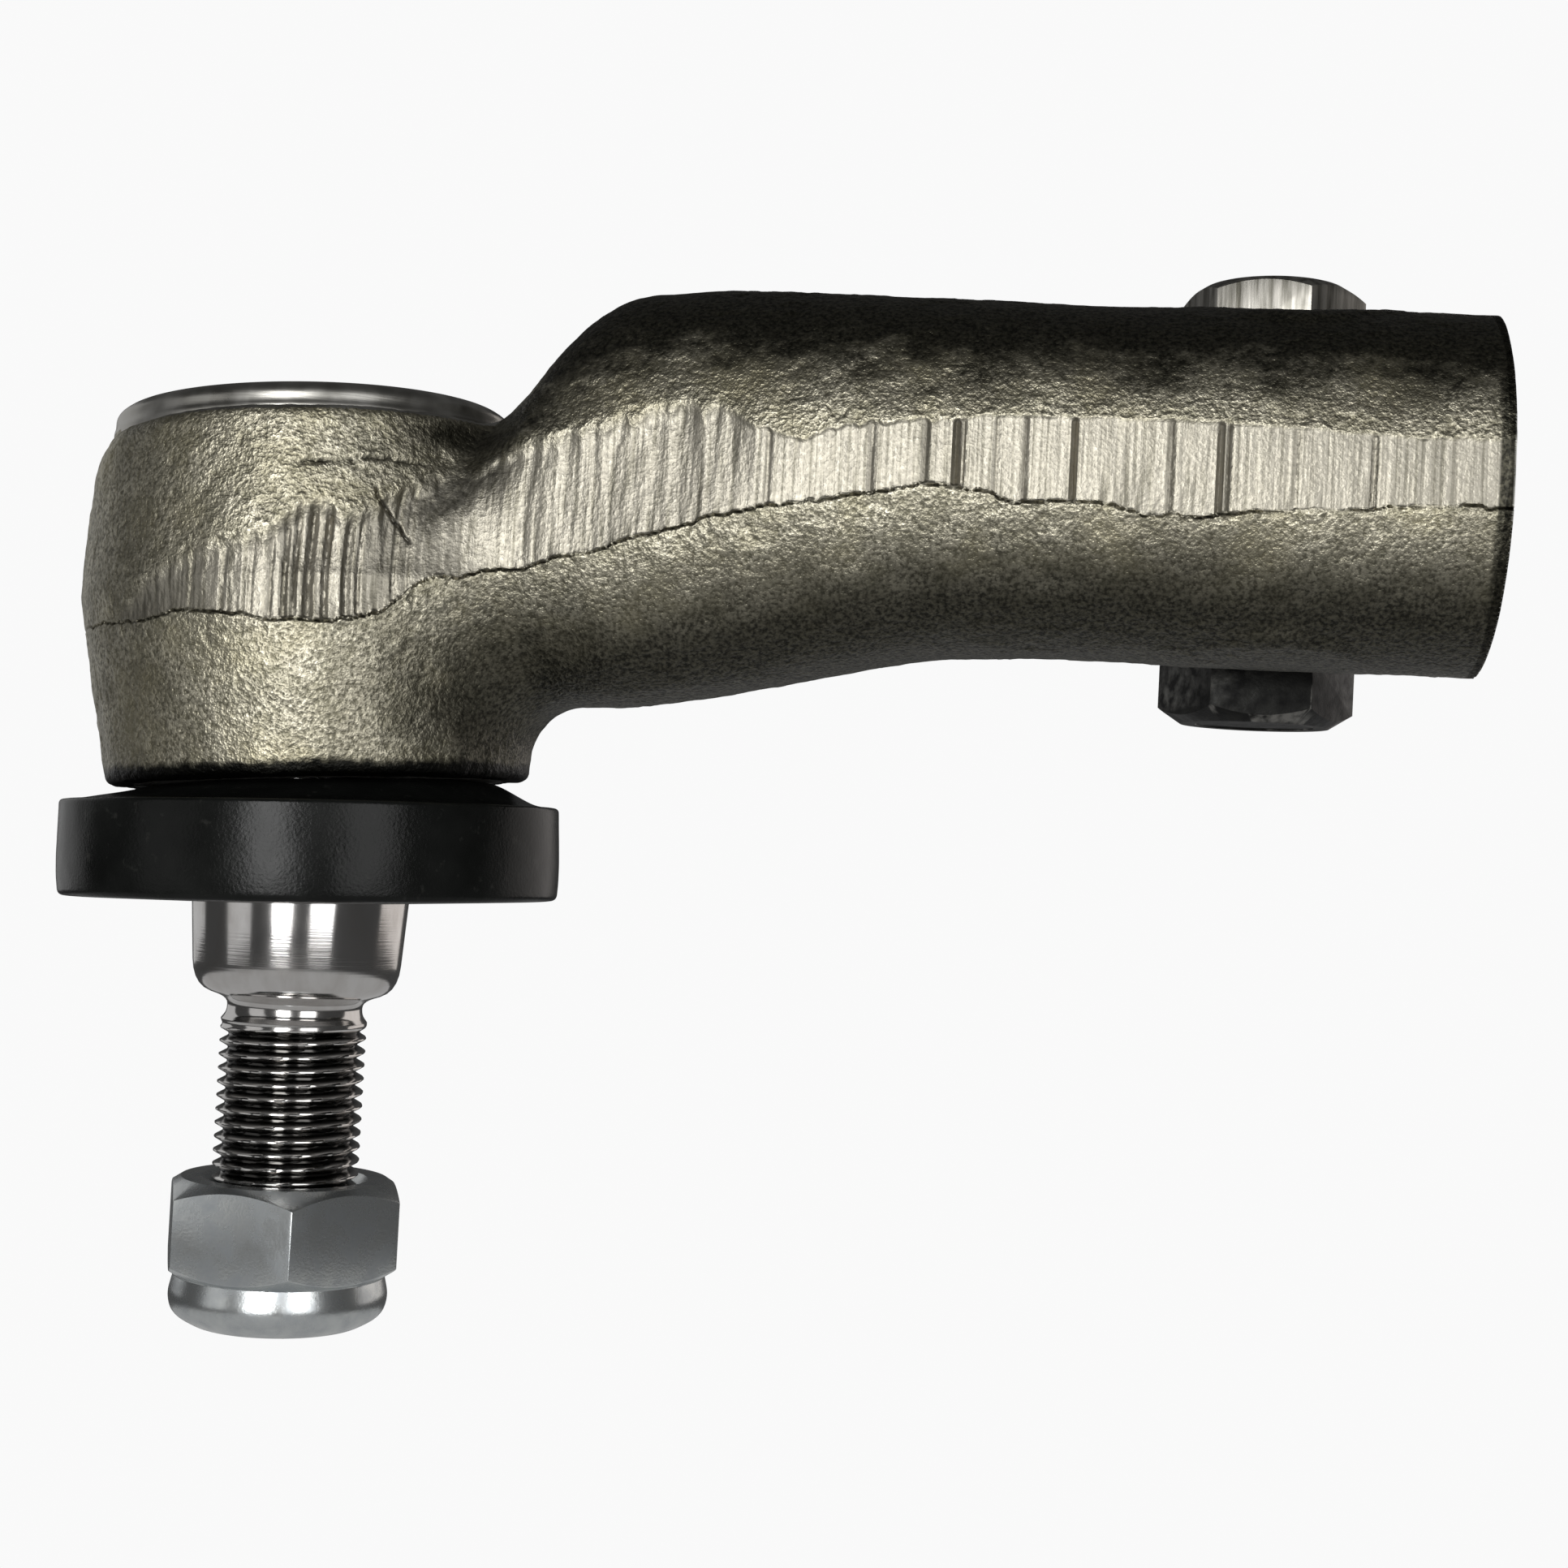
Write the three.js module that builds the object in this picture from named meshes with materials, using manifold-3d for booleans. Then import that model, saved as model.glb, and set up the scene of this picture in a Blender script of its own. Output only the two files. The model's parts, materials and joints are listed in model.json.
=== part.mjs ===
// A heavy tie rod end: a forged housing with a ball socket at one end of a cranked arm and a split
// clamp barrel for the rod at the other. Units are millimetres. +X runs along the rod bore, out of
// its mouth, +Z is up and the ball stud hangs down. The origin is the centre of the bore's mouth.

import * as THREE from 'three';
import { LoftGeometry } from 'three/addons/geometries/LoftGeometry.js';
import { mergeVertices } from 'three/addons/utils/BufferGeometryUtils.js';
import Module from 'manifold-3d';

const wasm = await Module();
wasm.setup();

// ---- driving dimensions ----

const GAP = 0.3; // between pieces that touch on the real object

// places
const BALL = new THREE.Vector3(-125.5, 0, -16.25);
const SOCKET_CANT = THREE.MathUtils.degToRad(4); // the socket leans away from the rod
const BOOT_CANT = SOCKET_CANT / 2; // the boot lies half way between socket and stud

// clamp barrel, for an M24 x 1.5 rod
const BARREL_R = 19;
const BARREL_LENGTH = 56;
const BARREL_CHAMFER = 1.2;
const BORE_R = 11.5;
const BORE_DEPTH = 62;
const DRILL_POINT = 6;
const MOUTH_CHAMFER = 1;
const SLIT_WIDTH = 2.5;
const SLIT_LENGTH = 46;
const RELIEF_R = 3;

// clamp ears and their M12 bolt
const BOLT_AT = { x: -20.84, y: 19.5 };
const EAR_R = 11;
const EAR_TOP = 16;
const M12_R = 5.9;
const M12_HOLE_R = 6.4;
const BOLT_FLATS = 19;
const CLAMP_NUT_FLATS = 18; // the nut is one size narrower than the bolt's head
const BOLT_HEAD = 7.6;
const CLAMP_NUT_TOP = 26.1;
const BOLT_HEAD_TURN = -60.9; // degrees
const CLAMP_NUT_TURN = -127.3;

// socket, measured along its own axis from the ball's centre
const BOSS = { part: 25.2, bottom: 22.9, top: 23.2, low: -19.5, high: 17.6, corner: 2 };
const RIM = { r: 21.5, high: 20.9 };
const COVER_POCKET = { r: 19.7, low: 14.2, high: 19.4 };
const ROLLED_LIP_R = 17.6;
const SEAT_OUTER = 17.8;
const SEAT_LIP_ANGLE = 51; // degrees up from the stud, where the lower seat ends
const MOUTH = { throat: 13.2, flare: 15.2 };

// ball stud, M16 x 1.5, 1:8 taper
const BALL_R = 15;
const BALL_FLAT = 12;
const NECK_R = 8.2;
const TAPER = { top: -29, end: -40.5, endR: 11.35, slope: 1 / 16 };
const UNDERCUT_R = 7.7;
const THREAD = { start: -47, end: -78.2, r: 7.95 };

// M16 prevailing-torque nut
const NUT = { flats: 24, top: -63.5, hexEnd: -74.2, end: -79.5, bore: 8.25, collar: 12, turn: -68 };
const INSERT = { r: 10, top: -75, end: -78.6 };

// dust boot
const BOOT = { r: 27.3, top: -20.7, shoulder: -22.6, bottom: -32.7, lip: 13.3, dome: 17 };

const ROUND = 44; // facets round a large turned face
const FINE = 30; // facets round a small one

// ---- geometry helpers ----

const v2 = ([r, z]) => new THREE.Vector2(r, z);

/** Points of an arc round (0, 0), in degrees up from -Z. */
function arc(radius, from, to, steps) {
  return Array.from({ length: steps + 1 }, (_, i) => {
    const angle = THREE.MathUtils.degToRad(from + ((to - from) * i) / steps);
    return [radius * Math.sin(angle), -radius * Math.cos(angle)];
  });
}

/** Turns a profile of [radius, height] about +Z. It goes up the outside, counter-clockwise. */
function turned(profile, facets = ROUND) {
  return new THREE.LatheGeometry(profile.map(v2), facets).rotateX(Math.PI / 2);
}

/** Turns a ring whose profile closes on itself. */
function ring(profile, facets = ROUND) {
  return turned([...profile, profile[0]], facets);
}

function toSolid(geometry) {
  const plain = new THREE.BufferGeometry();
  plain.setAttribute('position', geometry.attributes.position);
  plain.setIndex(geometry.index);
  const merged = mergeVertices(plain, 1e-4);
  return new wasm.Manifold(new wasm.Mesh({
    numProp: 3,
    vertProperties: new Float32Array(merged.attributes.position.array),
    triVerts: new Uint32Array(merged.index.array),
  }));
}

function toGeometry(solid) {
  const mesh = solid.getMesh();
  const geometry = new THREE.BufferGeometry();
  geometry.setAttribute('position', new THREE.BufferAttribute(mesh.vertProperties, 3));
  geometry.setIndex(new THREE.BufferAttribute(mesh.triVerts, 1));
  geometry.computeVertexNormals();
  return geometry;
}

const join = (shapes) => shapes.map(toSolid).reduce((whole, shape) => whole.add(shape));

function cut(solid, shapes) {
  return shapes.map(toSolid).reduce((rest, shape) => rest.subtract(shape), solid);
}

/** Turns a geometry made along +Z so that it runs along +X. */
const alongX = (geometry) => geometry.rotateY(Math.PI / 2);

/** Moves a geometry made round the ball's centre to the ball, leaning it by cant first. */
const atBall = (geometry, cant = 0) => geometry.rotateY(-cant).translate(BALL.x, BALL.y, BALL.z);

/** A hexagon across the flats, chamfered at the ends named, from low to high. */
function hexagon(flats, low, high, turn, ends) {
  const corner = flats / Math.sqrt(3);
  const block = new THREE.CylinderGeometry(corner, corner, high - low, 6)
    .rotateX(Math.PI / 2)
    .rotateZ(THREE.MathUtils.degToRad(turn) + Math.PI / 2)
    .translate(0, 0, (low + high) / 2);
  const face = flats / 2 - 0.3;
  const wide = corner + 1;
  const drop = (wide - face) * Math.tan(Math.PI / 6);
  const past = 0.001; // so that the cone's flat ends don't lie in the block's
  const bottom = ends.includes('low')
    ? [[0, low - past], [face, low - past], [wide, low + drop]]
    : [[0, low - 1], [wide, low - 1]];
  const top = ends.includes('high')
    ? [[wide, high - drop], [face, high + past], [0, high + past]]
    : [[wide, high + 1], [0, high + 1]];
  return toSolid(block).intersect(toSolid(turned([...bottom, ...top])));
}

// ---- housing ----

/** Crest, belly and parting line of the cranked arm as smooth curves of height against X. */
const armCrest = new THREE.SplineCurve([
  [-114, -9], [-106, -1], [-101.5, 7.5], [-97, 14], [-92, 17.9], [-85, 19.3], [-70, 19.5], [-50, 19],
].map(v2));
const armBelly = new THREE.SplineCurve([
  [-114, -29], [-104, -28], [-97, -26.6], [-88, -25.8], [-78, -24], [-66, -21.3], [-57, -19.5], [-50, -19],
].map(v2));
const armParting = new THREE.SplineCurve([
  [-114, -14], [-104, -9.5], [-92, -6], [-80, -3.6], [-68, -1.4], [-60, -0.8], [-50, -0.6],
].map(v2));
const ARM_DEPTH = { socket: 17.5, barrel: 18.9 }; // half thickness, front to back

/** The height of a curve at x, by walking along it. */
function heightAt(curve, x) {
  let [low, high] = [0, 1];
  while (high - low > 1e-4) {
    const middle = (low + high) / 2;
    if (curve.getPoint(middle).x < x) low = middle;
    else high = middle;
  }
  return curve.getPoint(low).y;
}

/** One cross-section of the arm, two half ellipses that meet on the parting line. */
function armSection(x, around) {
  const parting = heightAt(armParting, x);
  const up = heightAt(armCrest, x) - parting;
  const down = parting - heightAt(armBelly, x);
  const share = THREE.MathUtils.smoothstep(x, -114, -60);
  const depth = THREE.MathUtils.lerp(ARM_DEPTH.socket, ARM_DEPTH.barrel, share);
  return Array.from({ length: around }, (_, i) => {
    const angle = (i / around) * 2 * Math.PI;
    const side = Math.sin(angle);
    return new THREE.Vector3(x, depth * Math.cos(angle), parting + side * (side > 0 ? up : down));
  });
}

function arm() {
  const stations = 17;
  const sections = Array.from({ length: stations }, (_, i) => {
    const x = THREE.MathUtils.lerp(-113, -50.5, i / (stations - 1));
    return armSection(x, ROUND);
  });
  return new LoftGeometry(sections, { capStart: true, capEnd: true });
}

function barrel() {
  const end = -BARREL_CHAMFER;
  return alongX(turned([
    [0, -BARREL_LENGTH], [BARREL_R, -BARREL_LENGTH], [BARREL_R, end],
    [BARREL_R - BARREL_CHAMFER, 0], [0, 0],
  ]));
}

function boss() {
  const { part, bottom, top, low, high, corner } = BOSS;
  const round = [0, 30, 60, 90].map((degrees) => {
    const angle = THREE.MathUtils.degToRad(degrees);
    return [bottom - corner + corner * Math.sin(angle), low + corner - corner * Math.cos(angle)];
  });
  return atBall(turned([
    [0, low], ...round, [part, 0.3], [top, high - 0.8], [top - 0.8, high],
    [RIM.r, high + 0.4], [RIM.r, RIM.high - 0.5], [RIM.r - 0.6, RIM.high], [0, RIM.high],
  ], 56), SOCKET_CANT);
}

/** The two ears of the clamp as one block; the slit parts them. */
function ears() {
  const outline = new THREE.Shape();
  outline.moveTo(BOLT_AT.x - EAR_R, 0);
  outline.lineTo(BOLT_AT.x + EAR_R, 0);
  outline.lineTo(BOLT_AT.x + EAR_R, BOLT_AT.y);
  outline.absarc(BOLT_AT.x, BOLT_AT.y, EAR_R, 0, Math.PI, false);
  const block = new THREE.ExtrudeGeometry(outline, {
    depth: 2 * EAR_TOP, bevelEnabled: false, curveSegments: 14,
  });
  return block.translate(0, 0, -EAR_TOP);
}

/** The socket's hollow: rolled lip, cover pocket, bore, ball seat and flared mouth. */
function socketHollow() {
  const seat = SEAT_OUTER + GAP;
  const throat = THREE.MathUtils.radToDeg(Math.asin(MOUTH.throat / seat));
  const { r, low, high } = COVER_POCKET;
  return atBall(turned([
    [0, BOSS.low - 1], [MOUTH.flare, BOSS.low - 1], [MOUTH.flare, BOSS.low],
    ...arc(seat, throat, 90, 6), [seat, low], [r, low], [r, high],
    [ROLLED_LIP_R, high], [ROLLED_LIP_R, RIM.high + 1], [0, RIM.high + 1],
  ]), SOCKET_CANT);
}

function rodBore() {
  return alongX(turned([
    [0, -BORE_DEPTH - DRILL_POINT], [BORE_R, -BORE_DEPTH], [BORE_R, -MOUTH_CHAMFER],
    [BORE_R + MOUTH_CHAMFER, 0], [BORE_R + MOUTH_CHAMFER, 1], [0, 1],
  ]));
}

/** Clears the barrel's flank round the bolt, above (side 1) or below (side -1) the ears. */
function spotFace(side) {
  const deep = 12;
  return new THREE.CylinderGeometry(EAR_R + 0.8, EAR_R + 0.8, deep, ROUND)
    .rotateX(Math.PI / 2)
    .translate(BOLT_AT.x, BOLT_AT.y, side * (EAR_TOP + deep / 2));
}

function clampCuts() {
  const reach = BOLT_AT.y + EAR_R + 1;
  const slit = new THREE.BoxGeometry(SLIT_LENGTH + 1, reach, SLIT_WIDTH)
    .translate((1 - SLIT_LENGTH) / 2, reach / 2, 0);
  const relief = new THREE.CylinderGeometry(RELIEF_R, RELIEF_R, reach, 20)
    .translate(-SLIT_LENGTH, reach / 2, 0);
  const bolt = new THREE.CylinderGeometry(M12_HOLE_R, M12_HOLE_R, 2 * EAR_TOP + 2, FINE)
    .rotateX(Math.PI / 2)
    .translate(BOLT_AT.x, BOLT_AT.y, 0);
  return [slit, relief, bolt, spotFace(1), spotFace(-1)];
}

function housing() {
  const blank = join([boss(), arm(), barrel(), ears()]);
  return toGeometry(cut(blank, [socketHollow(), rodBore(), ...clampCuts()]));
}

// ---- inside the socket ----

function lowerBallSeat() {
  const inner = arc(BALL_R + GAP, SEAT_LIP_ANGLE, 90, 7).reverse();
  return atBall(ring([...arc(SEAT_OUTER, SEAT_LIP_ANGLE, 90, 7), ...inner], FINE), SOCKET_CANT);
}

const UPPER_SEAT = { low: 1, high: 11.6 };

function upperBallSeat() {
  const reach = BALL_R + GAP;
  const angleAt = (height) => 180 - THREE.MathUtils.radToDeg(Math.acos(height / reach));
  const inner = arc(reach, angleAt(UPPER_SEAT.low), angleAt(UPPER_SEAT.high), 7).reverse();
  return atBall(ring([
    [SEAT_OUTER, UPPER_SEAT.low], [SEAT_OUTER, UPPER_SEAT.high], ...inner,
  ], FINE), SOCKET_CANT);
}

/** A dished disc spring that presses the upper seat on the ball. */
function preloadSpring() {
  const thick = 1.5;
  const outer = [16.8, UPPER_SEAT.high + GAP];
  const inner = [9.5, UPPER_SEAT.high + GAP + 2.4];
  return atBall(ring([
    outer, [outer[0], outer[1] + thick], [inner[0], inner[1] + thick], inner,
  ], FINE), SOCKET_CANT);
}

const COVER = { r: 19.4, low: 16.4, high: 19.1 };

function coverPlate() {
  const dish = 1;
  return atBall(turned([
    [0, COVER.low], [COVER.r, COVER.low], [COVER.r, COVER.high],
    [13, COVER.high], [12, COVER.high - dish], [0, COVER.high - dish],
  ]), SOCKET_CANT);
}

function coverSeal() {
  const middle = COVER_POCKET.r - 0.2 - 0.75;
  const section = new THREE.TorusGeometry(middle, 0.65, 8, FINE);
  return atBall(section.translate(0, 0, COVER.low - GAP - 0.7), SOCKET_CANT);
}

// ---- stud, boot and nut ----

function ballStud() {
  const taperR = (z) => TAPER.endR + (z - TAPER.end) * TAPER.slope;
  const neckAngle = THREE.MathUtils.radToDeg(Math.asin(NECK_R / BALL_R));
  const flatAngle = 180 - THREE.MathUtils.radToDeg(Math.acos(BALL_FLAT / BALL_R));
  return atBall(turned([
    [0, THREAD.end], [THREAD.r - 1.2, THREAD.end], [THREAD.r, THREAD.end + 1.2],
    [THREAD.r, THREAD.start], [UNDERCUT_R, THREAD.start + 0.5], [UNDERCUT_R, TAPER.end - 3],
    [taperR(TAPER.end) - 0.6, TAPER.end - 0.6], [taperR(TAPER.end), TAPER.end],
    [taperR(TAPER.top), TAPER.top], [NECK_R, TAPER.top + 4],
    ...arc(BALL_R, neckAngle, flatAngle, 14), [0, BALL_FLAT],
  ], 40));
}

function dustBoot() {
  const { r, top, shoulder, bottom, lip, dome } = BOOT;
  return atBall(ring([
    [lip, bottom], [r - 0.5, bottom], [r, bottom + 0.5], [r, shoulder - 0.4], [r - 0.6, shoulder],
    [(r + dome) / 2, top - 0.7], [dome, top], [dome - 1.5, top - 0.4],
    [dome - 0.5, top - 2], [r - 3.4, shoulder - 2.6], [r - 3.4, bottom + 2.4], [lip, bottom + 1.6],
  ]), BOOT_CANT);
}

function bootBaseRing() {
  const low = BOOT.bottom + 2.4 + GAP;
  return atBall(ring([[14, low], [20, low], [20, low + 1], [14, low + 1]], FINE), BOOT_CANT);
}

function lockNut() {
  const { flats, top, hexEnd, end, bore, collar, turn } = NUT;
  const hex = hexagon(flats, hexEnd - 0.5, top, turn, ['low', 'high']);
  const cap = toSolid(turned([
    [0, end], [collar - 2.2, end], [collar - 0.8, end + 0.7], [collar, end + 2.4],
    [collar, hexEnd + 1], [0, hexEnd + 1],
  ]));
  const hole = turned([
    [0, end - 1], [bore + 0.6, end - 1], [bore + 0.6, INSERT.end - GAP],
    [INSERT.r + GAP, INSERT.end - GAP], [INSERT.r + GAP, INSERT.top + GAP],
    [bore, INSERT.top + GAP], [bore, top - 1], [bore + 1, top], [bore + 1, top + 1], [0, top + 1],
  ], FINE);
  return atBall(toGeometry(cut(hex.add(cap), [hole])));
}

function lockNutInsert() {
  const { r, top, end } = INSERT;
  return atBall(ring([[NUT.bore, end], [r, end], [r, top], [NUT.bore, top]], FINE));
}

// ---- clamp bolt ----

const atBolt = (geometry) => geometry.translate(BOLT_AT.x, BOLT_AT.y, 0);

function clampBolt() {
  const seat = -EAR_TOP - GAP;
  const head = hexagon(BOLT_FLATS, seat - BOLT_HEAD, seat, BOLT_HEAD_TURN, ['low']);
  const shank = turned([
    [0, seat - 1], [M12_R, seat - 1], [M12_R, CLAMP_NUT_TOP - 0.8],
    [M12_R - 0.8, CLAMP_NUT_TOP], [0, CLAMP_NUT_TOP],
  ], FINE);
  return atBolt(toGeometry(head.add(toSolid(shank))));
}

function clampNut() {
  const hole = new THREE.CylinderGeometry(M12_R + GAP, M12_R + GAP, 30, FINE)
    .rotateX(Math.PI / 2)
    .translate(0, 0, CLAMP_NUT_TOP);
  const body = hexagon(CLAMP_NUT_FLATS, EAR_TOP + GAP, CLAMP_NUT_TOP, CLAMP_NUT_TURN, ['low', 'high']);
  return atBolt(toGeometry(cut(body, [hole])));
}

// ---- assembly ----

const steel = (color, roughness, metalness) => ({ color, roughness, metalness });
const FORGED = steel(0x76736a, 0.55, 0.75);
const GROUND = steel(0xb9b8b4, 0.25, 1);
const ZINC = steel(0x9aa0a4, 0.35, 0.9);
const OXIDE = steel(0x2a2a28, 0.5, 0.6);
const RUBBER = steel(0x161616, 0.6, 0);
const ACETAL = steel(0xe4e0d2, 0.45, 0);
const NYLON = steel(0x3d6fa8, 0.5, 0);

const PIECES = [
  ['housing', housing, FORGED],
  ['lower_ball_seat', lowerBallSeat, ACETAL],
  ['upper_ball_seat', upperBallSeat, ACETAL],
  ['preload_spring', preloadSpring, GROUND],
  ['cover_plate', coverPlate, ZINC],
  ['cover_seal', coverSeal, RUBBER],
  ['ball_stud', ballStud, GROUND],
  ['dust_boot', dustBoot, RUBBER],
  ['boot_base_ring', bootBaseRing, ZINC],
  ['lock_nut', lockNut, ZINC],
  ['lock_nut_insert', lockNutInsert, NYLON],
  ['clamp_bolt', clampBolt, OXIDE],
  ['clamp_nut', clampNut, OXIDE],
];

const tieRodEnd = new THREE.Group();
for (const [name, build, finish] of PIECES) {
  const mesh = new THREE.Mesh(build(), new THREE.MeshStandardMaterial(finish));
  mesh.name = name;
  tieRodEnd.add(mesh);
}

export default tieRodEnd;
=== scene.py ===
import itertools
import json
import math

import bmesh
import bpy
import numpy as np
from mathutils import Matrix, Vector


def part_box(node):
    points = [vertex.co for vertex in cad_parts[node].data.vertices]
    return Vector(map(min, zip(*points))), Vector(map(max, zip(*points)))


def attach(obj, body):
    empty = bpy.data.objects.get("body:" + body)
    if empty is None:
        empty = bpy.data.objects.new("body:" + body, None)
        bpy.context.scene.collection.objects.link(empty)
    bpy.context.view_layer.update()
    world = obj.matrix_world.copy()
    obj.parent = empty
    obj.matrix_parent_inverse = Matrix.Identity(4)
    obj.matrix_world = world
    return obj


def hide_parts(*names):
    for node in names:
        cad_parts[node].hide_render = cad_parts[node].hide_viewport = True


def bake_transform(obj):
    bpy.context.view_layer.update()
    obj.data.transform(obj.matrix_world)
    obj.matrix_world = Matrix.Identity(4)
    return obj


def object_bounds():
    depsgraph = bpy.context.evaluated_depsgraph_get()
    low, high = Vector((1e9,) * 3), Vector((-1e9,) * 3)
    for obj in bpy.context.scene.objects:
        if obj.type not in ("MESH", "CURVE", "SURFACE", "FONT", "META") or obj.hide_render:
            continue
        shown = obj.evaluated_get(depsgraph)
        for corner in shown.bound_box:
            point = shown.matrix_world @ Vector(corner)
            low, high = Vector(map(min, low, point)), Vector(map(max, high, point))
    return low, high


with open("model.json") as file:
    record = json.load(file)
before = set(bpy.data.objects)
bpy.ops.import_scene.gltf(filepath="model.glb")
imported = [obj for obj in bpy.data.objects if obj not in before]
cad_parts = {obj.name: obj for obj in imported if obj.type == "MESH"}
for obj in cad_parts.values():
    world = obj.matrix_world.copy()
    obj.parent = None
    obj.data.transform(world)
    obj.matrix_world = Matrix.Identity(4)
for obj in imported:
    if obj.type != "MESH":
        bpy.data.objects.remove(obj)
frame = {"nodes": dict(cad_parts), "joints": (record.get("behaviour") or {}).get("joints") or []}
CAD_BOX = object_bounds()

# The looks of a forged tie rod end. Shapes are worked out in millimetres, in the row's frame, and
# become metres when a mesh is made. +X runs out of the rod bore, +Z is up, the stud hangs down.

MM = 0.001
JOINTS = {j["name"]: j for j in frame["joints"]}


def node_box(node):
    """A CAD node's lowest and highest corners, in millimetres."""
    low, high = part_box(node)
    return np.array(low) / MM, np.array(high) / MM


# ---- driving dimensions ----

BALL = np.array(JOINTS["ball_tilt"]["pos_m"]) / MM
SOCKET_AXIS = np.array(JOINTS["ball_turn"]["axis"])
SOCKET_CANT = math.asin(-SOCKET_AXIS[0])
BOOT_CANT = math.radians(2.1)

BARREL_R = 19.0
BORE = dict(r=11.2, thread=0.8, pitch=1.5, depth=62, point=6, chamfer=1.3)
SLIT = dict(width=2.5, length=46, relief=3)
BOLT = np.array([-20.84, 19.5])
AT_BOLT = np.array([*BOLT, 0])
EAR = dict(r=10.7, top=16, hole=6.3, spot=11.8)

BOSS = dict(part=25.3, bottom=22.9, top=23.2, low=-20.0, high=18.0, split=0.3)
RIM = dict(r=21.5, high=20.9)
POCKET = dict(r=19.7, low=14.2, high=19.4, lip=17.6)
SEAT_R = 18.1
MOUTH = dict(throat=13.2, flare=15.2)

BALL_R = 15.0
BALL_FLAT = 12.0  # how far the flat on the ball's top is from its centre
NECK_R = 8.2
TAPER = dict(top=-29, end=-40.5, end_r=11.35, slope=1 / 16)
UNDERCUT_R = 7.35
STUD_THREAD = dict(r=7.95, depth=0.92, pitch=1.5, start=-46.2, end=-78.2)
NUT = dict(flats=24, top=-63.5, hex_end=-74.2, end=-79.5, collar=12.0, mouth=8.9, turn=-68)
NUT_THREAD = dict(r=8.15, depth=0.75, pitch=1.5)
INSERT = dict(hole=8.05, r=9.9, seat=10.4)
M12 = dict(r=5.9, depth=1.0, pitch=1.75, start=-4)
M12_HEAD = dict(flats=19, turn=-60.9, washer=8.9, dish=7.0)
M12_NUT = dict(flats=18, turn=-131.5)
M12_NUT_THREAD = dict(r=6.1, depth=0.85, pitch=1.75)
BOOT = dict(r=27.25, top=-20.2, shoulder=-22.3, bottom=-32.7, lip=12.2, dome=17.2)

COVER = dict(r=19.55, low=16.4, high=19.3, dish=1.1, hub=0.7)

SMOOTH = 35  # degrees; sharper edges than this stay sharp
SKIN_STEP = 0.4  # the forging's mesh size before the land is refined
TURN_STEPS = 10  # profile points to each pitch of a thread


# ---- noise and curves ----

GRADIENTS = np.random.default_rng(7).normal(size=(512, 3))
GRADIENTS /= np.linalg.norm(GRADIENTS, axis=1)[:, None]


def noise(points, size, seed=0):
    """Smooth noise, about -1 to 1, whose bumps are about size millimetres."""
    cell = points / size + 31.7 * seed
    low = np.floor(cell).astype(np.int64)
    part = cell - low
    ease = part ** 3 * (part * (part * 6 - 15) + 10)
    total = np.zeros(len(points))
    for corner in itertools.product((0, 1), repeat=3):
        grid = low + corner
        pick = (grid[:, 0] * 73856093) ^ (grid[:, 1] * 19349663) ^ (grid[:, 2] * 83492791)
        slope = GRADIENTS[(pick + 101 * seed) & 511]
        share = np.prod(np.where(corner, ease, 1 - ease), axis=1)
        total += share * np.sum(slope * (part - corner), axis=1)
    return 1.6 * total


def smoothstep(low, high, value):
    t = np.clip((value - low) / (high - low), 0, 1)
    return t * t * (3 - 2 * t)


def smooth_curve(*points):
    """A smooth curve of z against x through (x, z) points, as a function of x."""
    x, z = np.array(points, float).T
    slope = np.gradient(z, x)

    def height(at):
        at = np.clip(at, x[0], x[-1])
        i = np.clip(np.searchsorted(x, at) - 1, 0, len(x) - 2)
        wide = x[i + 1] - x[i]
        t = (at - x[i]) / wide
        return (
            (1 + 2 * t) * (1 - t) ** 2 * z[i] + t * (1 - t) ** 2 * wide * slope[i]
            + t * t * (3 - 2 * t) * z[i + 1] + t * t * (t - 1) * wide * slope[i + 1]
        )

    return height


def rounded(*points, steps=5):
    """A profile whose corners are eased. Each point is (r, z) or (r, z, how far the easing reaches)."""
    spots = [np.array(p[:2], float) for p in points]
    line = []
    for i, point in enumerate(points):
        reach = point[2] if len(point) > 2 else 0
        if not reach or i in (0, len(points) - 1):
            line.append(spots[i])
            continue
        before, after = spots[i - 1] - spots[i], spots[i + 1] - spots[i]
        a = before / np.linalg.norm(before) * min(reach, 0.48 * np.linalg.norm(before))
        b = after / np.linalg.norm(after) * min(reach, 0.48 * np.linalg.norm(after))
        for t in np.linspace(0, 1, steps + 1):
            line.append(spots[i] + a * (1 - t) ** 2 + b * t * t)
    return line


def arc(radius, start, end, steps):
    """Profile points on a circle round (0, 0), in degrees up from -Z."""
    return [(radius * math.sin(a), -radius * math.cos(a))
            for a in np.radians(np.linspace(start, end, steps + 1))]


def groove_depth(z, thread):
    """How deep a thread's groove is at each height. It fades out over a pitch at both ends."""
    low, high = sorted((thread["start"], thread["end"]))
    fade = smoothstep(0, thread["pitch"], z - low) * smoothstep(0, thread["pitch"], high - z)
    return fade * thread["depth"]


# ---- meshes ----

def make(name, verts, faces, *materials):
    """A mesh object from millimetres, shaded smooth but for its sharp edges."""
    mesh = bpy.data.meshes.new(name)
    mesh.from_pydata((np.asarray(verts) * MM).tolist(), [], [list(map(int, f)) for f in faces])
    mesh.validate()
    piece = bpy.data.objects.new(name, mesh)
    bpy.context.scene.collection.objects.link(piece)
    for material in materials:
        mesh.materials.append(material)
    finish_edges(piece)
    return piece


def finish_edges(piece, angle=SMOOTH):
    piece.data.polygons.foreach_set("use_smooth", [True] * len(piece.data.polygons))
    piece.data.set_sharp_from_angle(angle=math.radians(angle))


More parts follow.
